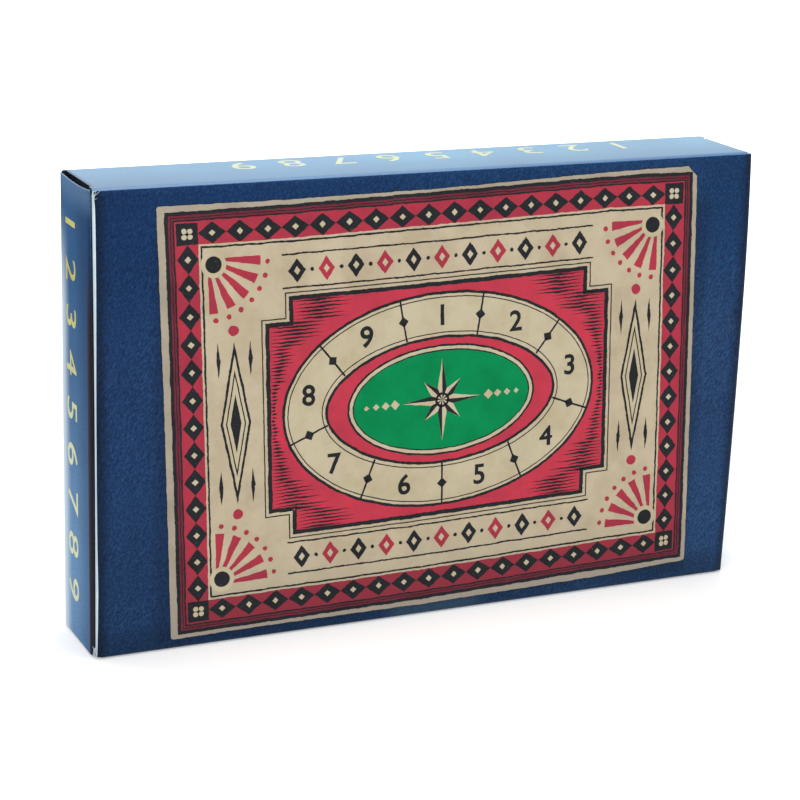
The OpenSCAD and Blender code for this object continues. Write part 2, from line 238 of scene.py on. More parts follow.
carton = {
    "size": (200, 30, 130),
    "frontBulge": 1.0,       # how far the front stands out at its free edge, at mid height
    "foldBulge": 0.5,        # the same at the fold beside the right end
    "endBulge": 0.7,         # how far the right end stands out
    "endBend": 20,           # over this much of its right end the carton bends to it
    "freePeak": 70,          # height of the fullest place at the free edge
    "foldPeak": 88,          # and at the fold
    "printRoom": 0.25,       # the front lies this far back, so that its ink stays in the box
    "inkRoom": (0.06, 2),    # the left end and the top too, from this near the outside on
    "grid": (10, 5, 5),
    "rubWidth": 0.7,
    "cutBevel": 0.25,        # the cut edge beside the left end is chamfered by the knife
    # how far the bare edge reaches over the front, at heights from the ground up
    "cutReach": ((0, 0.02), (8, 0.2), (20, 0.34), (34, 0.1), (50, 0.02), (66, 0.02),
                 (80, 0.1), (104, 0.38), (124, 0.45), (128, 0.2), (130, 0.04)),
    "cutLimit": 1.2,
    # the left end's upper rim sags and is crushed thin: from a height on, more and more over
    # the next few millimetres, and only where it lies further in than its outer wall
    "rimDip": 0.55, "rimThin": 1.1, "rimCrush": (125, 4), "rimWall": 1,
    # the top reaches out over the dust flaps, from here to the middle of its folds
    "crownFrom": (94.7, 97.1), "leftCrown": 1.5, "rightCrown": 0.7,
    "dustFold": (-10.73, 12.53), "crownLift": 0.5,
    "dustBleed": 54,         # a dust flap's print ends this far over and under mid height
    # the boards seen through the gap at the far left corner, left of and above this place,
    # painted near-black as its shadow
    "gapBoards": ("top_panel", "back_panel", "left_top_dust_flap"), "gap": (-96.5, 117),
    # hidden flaps that the bowed carton may not press against the sliding tray
    "clearOfTray": {"left_tuck_flap": (1, -10.45), "right_top_dust_flap": (0, 95.95),
                    "right_bottom_dust_flap": (0, 95.95)},
    "smoothBelow": 28,
}
frontPrint = {
    "deep": "#0c294b", "ground": "#1d3c62", "light": "#30517b", "worn": "#3c608c",
    "grain": (0.9, 0.31, 0.31), "slant": (0, -57, 0), "emboss": 0.09,
    "roughness": 0.5, "gloss": 0.1, "coat": 0.0, "coatRoughness": 0.3, "wear": 0.6,
    # painted shade darkens the front under its top fold; it is also darker towards the left
    "fades": [("X", -60, 80, "#cfdde9", "#ffffff"), ("Z", 75, 115, "#ffffff", "#b2e4f0")],
    # darker at the lower left, painted shade at the upper right and along the foot, dusty at its
    # middle
    "bands": [("MULTIPLY", "#d8ecf0", 1, ("X", 80, 88), ("Z", 84, 108)),
              ("MULTIPLY", "#f1f6f3", 1, ("X", -80, -88), ("Z", 56, 30)),
              ("MULTIPLY", "#dde2dd", 1, ("Z", 10, 4)),
              ("MIX", "#3c5564", 0.4, ("X", -16, -8), ("X", 20, 12), ("Z", 9, 5))],
    "endShade": (94.8, 98.6, 0.42),
    "pictureMiddle": (1.2, 0, 60), "pictureHalf": (81.5, 1000, 55), "shadeOutside": 5,
    "pictureTone": 0.66,
}
flatPrint = {key: value for key, value in frontPrint.items() if key != "endShade"}
sidePrint = {
    # the same navy print as the front, painted lighter for the glare the end catches
    **flatPrint, "deep": "#5a80a8", "ground": "#6389b0", "light": "#6c92b8",
    "worn": "#86a3c0", "grain": (0.4, 0.8, 0.5), "slant": (35, 0, 0), "emboss": 0.03,
    "gloss": 0.02, "wear": 0.3,
    # painted light and shade: darker towards the top and towards the front
    "fades": [("Z", 14, 116, "#ffffff", "#77a9c4"), ("Y", -10, 4, "#bdc5ce", "#ffffff")],
    # a painted sheen lights the far half lower down, the crushed rim shows paler, and the fold at
    # the tuck is scuffed down to dark board, with painted shadow over it that turns near black
    # under the front's edge
    "bands": [("MIX", "#d2e1ec", 0.95, ("Y", 5.5, 14.6), ("Z", 124, 92)),
              ("MIX", "#5b7a9c", 0.6, ("Z", 120, 128)),
              ("MIX", "#2d2730", 1, ("Y", -9.4, -10.4), ("X", -94, -96), ("Z", 116, 90)),
              ("MIX", "#1d1c26", 1, ("Y", -11.2, -12.6), ("X", -94, -96))],
}
topPrint = {
    # the same navy print, painted pale for the sheen the top catches
    **flatPrint, "deep": "#5394ba", "ground": "#5a9bc1", "light": "#62a1c6",
    "worn": "#9dbcd8", "grain": (0.8, 0.5, 0.5), "slant": (0, 0, 30), "emboss": 0.03,
    "gloss": 0.6, "coat": 0.7, "coatRoughness": 0.35, "wear": 0.15,
    # painted shade: darker towards the front and a little towards the left
    "fades": [("Y", -13, 10, "#b4ceda", "#ffffff"), ("X", -80, 10, "#f2f2f8", "#ffffff")],
    # painted shade in the fold along the far left, and along the fold at the front
    "bands": [("MIX", "#153a5f", 0.85, ("X", -97.3, -98.4), ("Y", -11.5, -9)),
              ("MIX", "#1f5487", 0.85, ("Y", -11.6, -13.9))],
}

navyFront = laminatedPrint("laminated_leather_grain_navy", frontPrint)
navyPlain = laminatedPrint("laminated_plain_navy", flatPrint)
endPaintedGlare = laminatedPrint("laminated_end_painted_glare", sidePrint)
tuckPaintedGlare = laminatedPrint("laminated_tuck_painted_glare", {**sidePrint, "wear": 0})
topPaintedSheen = laminatedPrint("laminated_top_painted_sheen", topPrint)
greyBoard = rawBoard("raw_greyboard", "#dcd9cf", "#cbc7bb", "#a39d90")
cutBoard = rawBoard("cut_white_lined_board", "#c9d6dc", "#b4c5ce", "#9fb0ba")
rimBoard = rawBoard("crushed_blue_grey_rim", "#8ba1b5", "#748ba1", "#5f768d")
# near-black board standing in for the shadow in the gap at the far left corner
gapShadowBoard = rawBoard("board_painted_as_gap_shadow", "#0b1829", "#081220", "#060d18")


def clamped(share):
    # no less than nothing and no more than the whole
    return max(0, min(1, share))


def settle(point):
    # The glued carton isn't flat: its front stands out in the middle and at its free edge
    x, y, z = (c * 1000 for c in point)
    length, depth, height = carton["size"]
    along = (x + length / 2) / length
    peak = carton["freePeak"] + (carton["foldPeak"] - carton["freePeak"]) * along
    reach = peak if z < peak else height - peak
    away = min(1, abs(z - peak) / reach) ** 2
    bulge = carton["frontBulge"] + (carton["foldBulge"] - carton["frontBulge"]) * along
    y += clamped(-y / (depth / 2)) * (carton["printRoom"] + bulge * away)
    bend = carton["endBend"]
    x -= max(0, (x - (length / 2 - bend)) / bend) ** 2 * carton["endBulge"] * away
    room, near = carton["inkRoom"]
    x += room * clamped(-x - (length / 2 - near))
    z -= room * clamped(z - (height - near))
    return Vector((x, y, z)) / 1000


def reachAt(z, table):
    # the value at z in a table of (place, value), straight between its rows
    for (low, first), (high, last) in zip(table, table[1:]):
        if z <= high:
            return first + (last - first) * (z - low) / (high - low)
    return table[-1][1]


def cutAcross(mesh, axis, place):
    normal = Vector((0, 0, 0))
    normal[axis] = 1
    bmesh.ops.bisect_plane(mesh, geom=mesh.verts[:] + mesh.edges[:] + mesh.faces[:],
                           plane_co=normal * place, plane_no=normal, dist=1e-6)


def cutOnGrid(mesh, spacing):
    # planes across the whole carton, the same for the board and for the ink on it
    for axis, step in enumerate(spacing):
        if not step:
            continue
        # no cut comes nearer than this to the outside
        apart = 0.05
        low = min(v.co[axis] for v in mesh.verts) * 1000 + apart
        high = max(v.co[axis] for v in mesh.verts) * 1000 - apart
        for i in range(math.ceil(low / step), math.floor(high / step) + 1):
            cutAcross(mesh, axis, i * step / 1000)


def shadeSmooth(mesh, degrees):
    limit = math.radians(degrees)
    for face in mesh.faces:
        face.smooth = True
    for edge in mesh.edges:
        edge.smooth = len(edge.link_faces) == 2 and edge.calc_face_angle(0) < limit


def addObject(mesh, name, finishes):
    data = bpy.data.meshes.new(name)
    mesh.to_mesh(data)
    mesh.free()
    for finish in finishes:
        data.materials.append(finish)
    piece = bpy.data.objects.new(name, data)
    bpy.context.scene.collection.objects.link(piece)
    return piece


def finishPiece(mesh, name, body, finishes, replaced=None):
    piece = addObject(mesh, name, finishes)
    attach(piece, body)
    if replaced:
        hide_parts(replaced)
    return piece


def copyOfNode(node):
    mesh = bmesh.new()
    mesh.from_mesh(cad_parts[node].data)
    bmesh.ops.remove_doubles(mesh, verts=mesh.verts, dist=2e-6)
    bmesh.ops.dissolve_limit(mesh, angle_limit=math.radians(0.5),
                             verts=mesh.verts, edges=mesh.edges)
    return mesh


def finishOf(face, node, outward, bare):
    # the number of the face's finish: 0 print, 1 inside, 2 cut edge, 3 painted near-black as the
    # shadow in the gap
    facing = face.normal.dot(outward)
    middle = face.calc_center_median()
    shown = 0 if facing > 0.3 else 1 if facing < -0.9 else 2
    if node == "front_panel" and (face.normal.x < -0.2 or middle.x < bare):
        shown = 2 if facing > -0.9 else 1   # the bare edge beside the left end
    midHeight = carton["size"][2] / 2000
    if "dust" in node and facing > 0.3 and abs(middle.z - midHeight) < carton["dustBleed"] / 1000:
        shown = 1   # the print only bleeds over the fold
    gapEdge, gapFloor = (place / 1000 for place in carton["gap"])
    # these faces are painted near-black as the shadow in the gap
    if node in carton["gapBoards"] and middle.x < gapEdge and middle.z > gapFloor:
        if shown == 2 or node == "left_top_dust_flap" or face.normal.y < -0.9:
            shown = 3
    return shown


def bareFrontEdge(vert, low, bare):
    # the white edge reaches over the front here and there, and its corner is cut off
    near, atFront = 1e-5, 5e-4
    if vert.co.y - low.y < atFront:
        if abs(vert.co.x - bare) < near:
            vert.co.x = low.x + reachAt(vert.co.z * 1000, carton["cutReach"]) / 1000
        if vert.co.x - low.x < near:
            vert.co.y += carton["cutBevel"] / 1000


def crownTop(vert, high):
    # the top stands out and up over the folds of the dust flaps
    start, end = carton["crownFrom"]
    share = clamped((abs(vert.co.x) * 1000 - start) / (end - start))
    reach = carton["leftCrown"] if vert.co.x < 0 else carton["rightCrown"]
    vert.co.x += math.copysign(share * reach / 1000, vert.co.x)
    along = vert.co.y * (1000 if vert.co.x < 0 else -1000)
    if carton["dustFold"][0] < along < carton["dustFold"][1]:
        vert.co.z = min(high.z, vert.co.z + share * carton["crownLift"] / 1000)


def crushRim(vert, low, high):
    # the left end's upper rim sags between its corners and is pressed thin
    start, over = carton["rimCrush"]
    crush = clamped((vert.co.z * 1000 - start) / over)
    across = math.sin(math.pi * (vert.co.y - low.y) / (high.y - low.y))
    vert.co.z -= crush * across * carton["rimDip"] / 1000
    if vert.co.x > low.x + carton["rimWall"] / 1000:
        vert.co.x -= crush * carton["rimThin"] / 1000


def dressBoard(node, body, outward, printed, edge):
    # the node's own board, printed outside and raw inside, bowed as the glued carton is
    mesh = copyOfNode(node)
    outward = Vector(outward)
    low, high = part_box(node)
    bare = low.x + carton["cutLimit"] / 1000
    if node == "front_panel":
        cutAcross(mesh, 0, bare)
    if node in carton["gapBoards"]:
        cutAcross(mesh, 0, carton["gap"][0] / 1000)
    cutOnGrid(mesh, carton["grid"])
    inPlane = [axis for axis in range(3) if abs(outward[axis]) < 0.5]
    rub = mesh.verts.layers.float.new("rub")
    for vert in mesh.verts:
        nearest = min(min(vert.co[a] - low[a], high[a] - vert.co[a]) for a in inPlane)
        vert[rub] = math.exp(-nearest * 1000 / carton["rubWidth"])
    mesh.normal_update()
    for face in mesh.faces:
        face.material_index = finishOf(face, node, outward, bare)
    for vert in mesh.verts:
        if node == "front_panel":
            bareFrontEdge(vert, low, bare)
        elif node == "top_panel":
            crownTop(vert, high)
        elif node == "left_end_panel":
            crushRim(vert, low, high)
        vert.co = settle(vert.co)
        if node in carton["clearOfTray"]:
            axis, limit = carton["clearOfTray"][node]
            vert.co[axis] = math.copysign(max(abs(vert.co[axis]), abs(limit) / 1000), limit)
    shadeSmooth(mesh, carton["smoothBelow"])
    finishPiece(mesh, node + "_board", body, [printed, greyBoard, edge, gapShadowBoard], node)


dressBoard("front_panel", "carton", (0, -1, 0), navyFront, cutBoard)
dressBoard("back_panel", "carton", (0, 1, 0), navyPlain, navyPlain)
dressBoard("top_panel", "carton", (0, 0, 1), topPaintedSheen, topPaintedSheen)
dressBoard("bottom_panel", "carton", (0, 0, -1), navyPlain, navyPlain)
dressBoard("seam_flap", "carton", (0, 1, 0), greyBoard, cutBoard)
for side, way, edge in (("left", -1, rimBoard), ("right", 1, topPaintedSheen)):
    dressBoard(side + "_end_panel", side + "_end", (way, 0, 0), endPaintedGlare, edge)
    dressBoard(side + "_tuck_flap", side + "_tuck", (0, way, 0),
               tuckPaintedGlare if way < 0 else navyPlain, cutBoard)
    for level in ("top", "bottom"):
        dressBoard(f"{side}_{level}_dust_flap", f"{side}_{level}_dust",
                   (way, 0, 0), topPaintedSheen if level == "top" else navyPlain, cutBoard)
print("carton boards dressed")


# ---- the framed picture on the front, laid down ink by ink ----
def letterpressInk(name, ground, dark, through, bite, turning=None, roughness=0.62):
    # Flat letterpress ink on uncoated stock: fine grit where the paper bites through,
    # tone that thins and pools over a few millimetres; turning is a colour that it runs out
    # to, with the heights in mm between which it does
    material, tree, shader, place = startMaterial(name, roughness, **{"Specular IOR Level": 0.05})
    pool = addNode(tree, "TexNoise", {"Scale": perSize(9), "Detail": 4, "Roughness": 0.6},
                   {"Vector": place})
    grit = addNode(tree, "TexNoise", {"Scale": perSize(0.7), "Detail": 3, "Roughness": 0.7},
                   {"Vector": place})
    body = addNode(tree, "ValToRGB", {"stops": [(0.32, dark), (0.62, ground)]},
                   {"Fac": pool.outputs["Fac"]})
    bitten = addNode(tree, "MapRange", {"From Min": 0.60, "From Max": 0.72, "To Max": bite},
                     {"Value": grit.outputs["Fac"]})
    mixed = addNode(tree, "Mix", {"data_type": "RGBA", 7: through},
                    {0: bitten.outputs[0], 6: body.outputs[0]})
    if turning:
        other, start, end = turning
        mixed = addNode(tree, "Mix", {"data_type": "RGBA", 7: other}, {
            0: comeIn(tree, place, "Z", start, end, easing="LINEAR"), 6: mixed.outputs[2]})
    finishMaterial(tree, shader, mixed.outputs[2], grit.outputs["Fac"], 0.5, 0.03)
    return material


# the stock, the cream and the red run darker towards the foot of the front: painted shade
marginStock = letterpressInk("greyed_margin_stock", "#a09686", "#938979", "#7d7366", 0.4,
                             ("#958d80", 22, 8))
creamStock = letterpressInk("aged_cream_stock", "#b6a990", "#a99b82", "#8f8069", 0.35,
                            ("#a89e88", 26, 10))
creamInk = letterpressInk("cream_ink", "#b8ad93", "#aca083", "#8f8069", 0.3)
redInk = letterpressInk("madder_red_ink", "#a23342", "#913040", "#7d2836", 0.4,
                        ("#83303c", 24, 11))
scarletInk = letterpressInk("scarlet_ink", "#b63848", "#a53444", "#8a2c3a", 0.35)
crimsonInk = letterpressInk("crimson_ink", "#702a37", "#5d2530", "#2b2025", 0.6)
charcoalInk = letterpressInk("charcoal_ink", "#24262a", "#1f2124", "#5a5550", 0.45)
greenInk = letterpressInk("emerald_ink", "#04804a", "#037342", "#04603a", 0.4)

picture = {
    # corners of the sheet on the front, from its centre line and the ground: lower left,
    # lower right, upper left, upper right; it was printed a little askew
    "corners": ((-78.1, 3.1), (85.1, 5.9), (-82.4, 124.5), (80.3, 127.0)),
    "size": (163, 121.3),
    # how far the sheet and the frame on it sag between their corners, from left to right,
    # along the top and along the bottom
    "sheetSag": (((-82, 0), (-51, 0.69), (-3, 0.94), (54, -0.06), (82, 0)),
                 ((-80, 0), (-51, 0.11), (-3, 1.0), (54, 1.03), (85, 0))),
    "frameSag": (((-82, 0), (-51, 0.29), (-3, 0), (54, -0.6), (82, 0)),
                 ((-80, 0), (-51, 0.31), (-3, 0.68), (54, 0.18), (85, 0))),
    "margins": (2.0, 1.4, 1.2, 1.7),   # left, right, below, above
    "rim": 0.3,                        # how much larger the dark ground under the sheet is
    "cornerCut": 2.9, "cornerRound": 0.7,
    "grid": 2, "boundary": 0.7,        # spacing of the cuts, inside and along an ink's edge
    "raggedness": (0.8, 4),            # an ink's edge wanders over these lengths
    "filmGap": 0.02,                   # a film of ink ends this far over the board
}
# each ink lies over the one before it: height over the board and how far its edges wander
inks = {
    "under": (0.03, 0.30, charcoalInk), "stock": (0.05, 0.13, marginStock),
    "field": (0.06, 0.13, creamStock), "red": (0.07, 0.16, redInk),
    "scarlet": (0.07, 0.16, scarletInk),
    "crimson": (0.08, 0.16, crimsonInk), "dark": (0.09, 0.18, charcoalInk),
    "green": (0.10, 0.15, greenInk), "pale": (0.11, 0.14, creamInk),
    "fine": (0.13, 0.08, charcoalInk),
}
sheets = {name: bmesh.new() for name in inks}
corners = [(x, y) for x in (-1, 1) for y in (-1, 1)]


def placeOf(x, y, turn=0, width=1, height=1):
    return (Matrix.Translation((x, y, 0)) @ Matrix.Rotation(math.radians(turn), 4, "Z")
            @ Matrix.Diagonal((width, height, 1, 1)))


def printPatch(ink, x, y, width, height, turn=0):
    made = bmesh.ops.create_grid(sheets[ink], x_segments=1, y_segments=1, size=0.5,
                                 matrix=placeOf(x, y, turn, width, height))
    return made["verts"][0].link_faces[0]


def printRound(ink, x, y, radius, segments=40, wide=1.0, tall=1.0):
    made = bmesh.ops.create_circle(sheets[ink], cap_ends=True, segments=segments, radius=radius,
                                   matrix=placeOf(x, y, 0, wide, tall))
    return made["verts"][0].link_faces[0]


def printLozenge(ink, x, y, half):
    wide, tall = half
    return printRound(ink, x, y, tall, 4, wide / tall)


def hollow(mesh, faces, band):
    # leaves a band of that width along the faces' edges
    bmesh.ops.inset_individual(mesh, faces=faces, thickness=band, use_even_offset=True)
    bmesh.ops.delete(mesh, geom=faces, context="FACES")


def addTo(sheet, part):
    # puts what was drawn on its own into a sheet
    flat = bpy.data.meshes.new("part")
    part.to_mesh(flat)
    part.free()
    sheet.from_mesh(flat)
    bpy.data.meshes.remove(flat)


def embolden(mesh, amount):
    # moves the whole outline outwards (the text object's own offset fills the open 4)
    moves = {}
    for vert in mesh.verts:
        outward = []
        for edge in vert.link_edges:
            if edge.is_boundary:
                start, end = (v.co for v in edge.verts)
                across = (end - start).cross(Vector((0, 0, 1))).normalized()
                away = (start + end) / 2 - edge.link_faces[0].calc_center_median()
                outward.append(across if across.dot(away) > 0 else -across)
        if len(outward) == 2:
            corner = max(0.5, 1 + outward[0].dot(outward[1]))
            moves[vert] = (outward[0] + outward[1]) * amount / corner
    for vert, move in moves.items():
        vert.co += move


def printNumeral(sheet, text, place, size, weight=0.02):
    curve = bpy.data.curves.new("numeral", "FONT")
    curve.body, curve.size, curve.align_x = text, size, "CENTER"
    holder = bpy.data.objects.new("numeral", curve)
    flat = bpy.data.meshes.new_from_object(holder)
    glyph = bmesh.new()
    glyph.from_mesh(flat)
    bpy.data.objects.remove(holder)
    bpy.data.curves.remove(curve)
    bpy.data.meshes.remove(flat)
    bmesh.ops.dissolve_degenerate(glyph, edges=glyph.edges, dist=1e-4)
    embolden(glyph, size * weight)
    heights = [vert.co.y for vert in glyph.verts]
    centred = Matrix.Translation((0, -(min(heights) + max(heights)) / 2, 0))
    bmesh.ops.transform(glyph, verts=glyph.verts, matrix=place @ centred)
    addTo(sheet, glyph)


def printNotched(ink, width, height, notch, band=0):
    # a rectangle with a square step cut out of each corner, whole or only its outer band
    alone = bmesh.new()
    bmesh.ops.create_grid(alone, x_segments=1, y_segments=1, size=0.5,
                          matrix=placeOf(0, 0, 0, width, height))
    bmesh.ops.bevel(alone, geom=alone.verts[:], offset=notch, segments=2, profile=0.0,
                    affect="VERTICES")
    if band:
        hollow(alone, alone.faces[:], band)
    addTo(sheets[ink], alone)


def skew(point):
    # from the upright sheet to the place of its corners on the front
    (width, height), (left, right, below, above) = picture["size"], picture["margins"]
    across = (point.x + (width - right + left) / 2) / width
    upward = (point.y + (height - above + below) / 2) / height
    lowerLeft, lowerRight, upperLeft, upperRight = (Vector(c) for c in picture["corners"])
    lower = lowerLeft.lerp(lowerRight, across)
    return lower.lerp(upperLeft.lerp(upperRight, across), upward).to_3d()


border = {
    # bands from the outside in: ink, how far in, width
    "bands": (("red", 0.9, 8.2), ("dark", 0, 1.0), ("crimson", 0.9, 1.4),
              ("dark", 1.5, 0.25), ("dark", 2.2, 0.45), ("dark", 9.7, 0.5)),
    "creamFrom": 4, "middle": 6.1,
    "diamond": 6.0, "pitch": 7.9, "square": 1.3,
    "dot": 0.75, "dotReach": 1.15,     # the four dots on each corner's square
}


def drawBorder():
    width, height = picture["size"]
    left, right, below, above = picture["margins"]
    for ink, more in (("under", picture["rim"]), ("stock", 0)):
        printPatch(ink, (right - left) / 2, (above - below) / 2, width + more, height + more)
        corner = max(sheets[ink].verts, key=lambda v: v.co.x + v.co.y)
        others = [vert for vert in sheets[ink].verts if vert != corner]
        bmesh.ops.bevel(sheets[ink], geom=others, offset=picture["cornerRound"], segments=4,
                        profile=0.5, affect="VERTICES")
        bmesh.ops.bevel(sheets[ink], geom=[corner], offset=picture["cornerCut"], segments=1,
                        affect="VERTICES")
    width, height = width - left - right, height - below - above
    cream = 2 * border["creamFrom"]
    printPatch("field", 0, 0, width - cream, height - cream)
    for ink, inset, band in border["bands"]:
        whole = printPatch(ink, 0, 0, width - 2 * inset, height - 2 * inset)
        hollow(sheets[ink], [whole], band)
    # a chain of charcoal diamonds on the red band, each with a small pale square
    for span, other, turned in ((width, height, False), (height, width, True)):
        run = span - 2 * border["middle"] - border["diamond"]
        count = round(run / border["pitch"])
        pitch = run / count
        slim = border["diamond"] / pitch
        for i in range(count):
            for way in (-1, 1):
                x = -run / 2 + pitch * (i + 0.5)
                y = way * (other / 2 - border["middle"])
                wide, tall = 1, slim
                if turned:
                    x, y, wide, tall = y, x, slim, 1
                printRound("dark", x, y, pitch / 2, 4, wide, tall)
                printPatch("pale", x, y, border["square"], border["square"], 45)
    for wayX, wayY in corners:
        x = wayX * (width / 2 - border["middle"])
        y = wayY * (height / 2 - border["middle"])
        printPatch("dark", x, y, border["diamond"], border["diamond"])
        for quarter in range(4):
            angle = math.pi / 4 + quarter * math.pi / 2
            printRound("pale", x + border["dotReach"] * math.cos(angle),
                       y + border["dotReach"] * math.sin(angle), border["dot"], 12)


fan = {
    "field": (141, 96.5), "inset": 2.2, "radius": 15, "rays": 5,
    "hubInset": 1.6, "hub": (("pale", 3.6), ("fine", 2.3)),
    "beads": 7, "bead": 0.75, "beadGap": 2,
    "beadFrom": 6, "beadStep": 13,     # degrees up from the field's edge
}


def drawFans():
    # a quarter sun in each corner of the field, with beads round it
    width, height = fan["field"]
    step = 90 / (2 * fan["rays"] - 1)
    for wayX, wayY in corners:
        x, y = wayX * (width / 2 - fan["inset"]), wayY * (height / 2 - fan["inset"])
        made = bmesh.ops.create_circle(
            sheets["red"], cap_ends=True, cap_tris=True, radius=fan["radius"],
            segments=round(360 / step), matrix=placeOf(x, y))
        unwanted = []
        for face in {f for vert in made["verts"] for f in vert.link_faces}:
            middle = face.calc_center_median() - Vector((x, y, 0))
            angle = math.degrees(math.atan2(abs(middle.y), abs(middle.x)))
            outside = middle.x * wayX > 0 or middle.y * wayY > 0
            if outside or int(angle / step) % 2:
                unwanted.append(face)
        bmesh.ops.delete(sheets["red"], geom=unwanted, context="FACES")
        for ink, radius in fan["hub"]:
            printRound(ink, x - wayX * fan["hubInset"], y - wayY * fan["hubInset"], radius, 24)
        away = fan["radius"] + fan["beadGap"]
        for i in range(fan["beads"]):
            angle = math.radians(fan["beadFrom"] + fan["beadStep"] * i)
            printRound("red", x - wayX * away * math.cos(angle),
                       y - wayY * away * math.sin(angle), fan["bead"], 10)


panel = {
    "size": (104, 67), "notch": 7,
    "rules": (("dark", 1.2, 1.2), ("fine", 3.4, 0.3)),   # ink, how much larger, width
    # the engraver's strokes: spacing, room left at the panel's edge and before the track,
    # shortest row, longest stroke at mid height and how much less it is at the top
    "strokePitch": 1.0, "strokeEdge": 0.6, "strokeGap": (1.6, 0.8), "strokeLeast": 1.5,
    "strokeLongest": 24, "strokeLess": 10,
    "strokeShare": (0.55, 0.95), "strokeWidth": (0.55, 0.8),
}


def drawPanel():
    width, height = panel["size"]
    printNotched("scarlet", width, height, panel["notch"])
    for ink, larger, band in panel["rules"]:
        printNotched(ink, width + larger, height + larger, panel["notch"], band)


def drawShading():
    # the engraver's shading: tapering strokes from the panel's edge towards the oval track
    random.seed(9)
    width, height = panel["size"]
    trackGap, strokeGap = panel["strokeGap"]
    wide, tall = (radius + track["half"] + trackGap for radius in track["radii"])
    rows = int(height / panel["strokePitch"])
    for row in range(1, rows):
        y = (row - rows / 2) * panel["strokePitch"]
        edge = width / 2 - (panel["notch"] if abs(y) > height / 2 - panel["notch"] else 0)
        room = edge - wide * math.sqrt(max(0, 1 - (y / tall) ** 2)) - strokeGap
        if room < panel["strokeLeast"]:
            continue
        longest = panel["strokeLongest"] - panel["strokeLess"] * abs(y) / height
        length = min(room, longest) * random.uniform(*panel["strokeShare"])
        for side in (-1, 1):
            middle = side * (edge - panel["strokeEdge"]) - side * length / 2
            printRound("dark", middle, y, length / 2, 4, 1,
                       random.uniform(*panel["strokeWidth"]) / length)


def printOval(ink, size, grow, band=0):
    oval = printRound(ink, 0, 0, 1, 120, size[0] + grow, size[1] + grow)
    if band:
        hollow(sheets[ink], [oval], band)


track = {
    "radii": (41.5, 24.6), "half": 5.9, "outline": 0.8, "rule": 0.3, "ruleInset": (0.7, 1.0),
    "cells": 9, "numeral": 8.2, "divider": 0.55, "diamond": 2.2,
}


def drawTrack():
    # an oval track in nine cells of the same length, one numeral in each
    wide, tall = radii = track["radii"]
    half, outline = track["half"], track["outline"]
    outerRule, innerRule = track["ruleInset"]
    printOval("dark", radii, half + outline, 2 * (half + outline))
    printOval("pale", radii, half, 2 * half)
    printOval("fine", radii, half - outerRule, track["rule"])
    printOval("fine", radii, innerRule - half, track["rule"])
    steps = 720
    walk = [Vector((wide * math.sin(i * math.tau / steps), tall * math.cos(i * math.tau / steps)))
            for i in range(steps + 1)]
    lengths = [0]
    for a, b in zip(walk, walk[1:]):
        lengths.append(lengths[-1] + (b - a).length)
    stops = 2 * track["cells"]
    for i in range(stops):
        wanted = lengths[-1] * i / stops
        x, y = walk[min(range(steps), key=lambda k: abs(lengths[k] - wanted))]
        if i % 2:
            across = math.degrees(math.atan2(y / tall ** 2, x / wide ** 2)) - 90
            printPatch("fine", x, y, track["divider"], 2 * half, across)
            printPatch("fine", x, y, track["diamond"], track["diamond"], 45 + across)
        else:
            printNumeral(sheets["fine"], str(i // 2 + 1), placeOf(x, y), track["numeral"])


roundel = {
    "size": (27, 14.2),
    "rings": (("dark", 1.9, 0), ("pale", 1.3, 0.9), ("green", 0, 0)),   # ink, larger, width
    "star": (12.2, 8.0, 3.6), "hub": 2.2, "hubBand": 0.7,
    # squares in a row at each side of the star, each smaller than the one before
    "squares": 4, "squareFrom": 14.5, "squarePitch": 2.9, "square": 2.0, "squareLess": 0.3,
}


def drawStar(ink, kept=None):
    # eight points, long and short; kept 0 or 1 leaves one half of each point
    long, short, valley = roundel["star"]
    made = bmesh.ops.create_circle(sheets[ink], cap_ends=True, cap_tris=True, radius=1,
                                   segments=16)
    points = [vert for vert in made["verts"] if vert.co.length > 0.5]
    for vert in points:
        corner = round(math.degrees(math.atan2(vert.co.y, vert.co.x)) / 22.5) % 4
        vert.co *= {0: long, 2: short}.get(corner, valley)
    unwanted = []
    for face in {f for vert in points for f in vert.link_faces}:
        middle = face.calc_center_median()
        turn = math.degrees(math.atan2(middle.y, middle.x)) % 360
        if kept is not None and int(turn / 22.5) % 2 != kept:
            unwanted.append(face)
    bmesh.ops.delete(sheets[ink], geom=unwanted, context="FACES")


def drawRoundel():
    for ink, larger, band in roundel["rings"]:
        printOval(ink, roundel["size"], larger, band)
    drawStar("pale")
    drawStar("fine", 1)
    hollow(sheets["fine"], [printRound("fine", 0, 0, roundel["hub"], 24)], roundel["hubBand"])
    for way in (-1, 1):
        for i in range(roundel["squares"]):
            size = roundel["square"] - i * roundel["squareLess"]
            x = way * (roundel["squareFrom"] + i * roundel["squarePitch"])
            printPatch("pale", x, 0, size, size, 45)


rows = {
    "lozenges": 11, "lozenge": (2.5, 3.4), "pitch": 8.6, "away": 41.0, "middle": 0.36,
    "dot": 0.55, "rule": 0.45, "ruleAway": 4.6,
}
wings = {
    "half": (4.4, 23), "away": 61.6,
    "pale": 0.84, "line": 0.66, "lineWidth": 0.35, "middle": 0.36,   # shares of the whole
    "bead": 1.5, "beadGap": 3,
    "dart": 5, "dartSlim": 0.12, "dartAway": 4.6, "dartIn": 5,
}


def drawRows():
    # rows of lozenges over and under the panel, each between two rules
    count, pitch = rows["lozenges"], rows["pitch"]
    wide, tall = rows["lozenge"]
    small = (wide * rows["middle"], tall * rows["middle"])
    for way in (-1, 1):
        y = way * rows["away"]
        for side in (-1, 1):
            printPatch("dark", 0, y + side * rows["ruleAway"], count * pitch, rows["rule"])
        for i in range(count):
            x = (i - (count - 1) / 2) * pitch
            printLozenge("red" if i % 2 else "dark", x, y, rows["lozenge"])
            printLozenge("pale", x, y, small)
            if i:
                printRound("dark", x - pitch / 2, y, rows["dot"], 10)


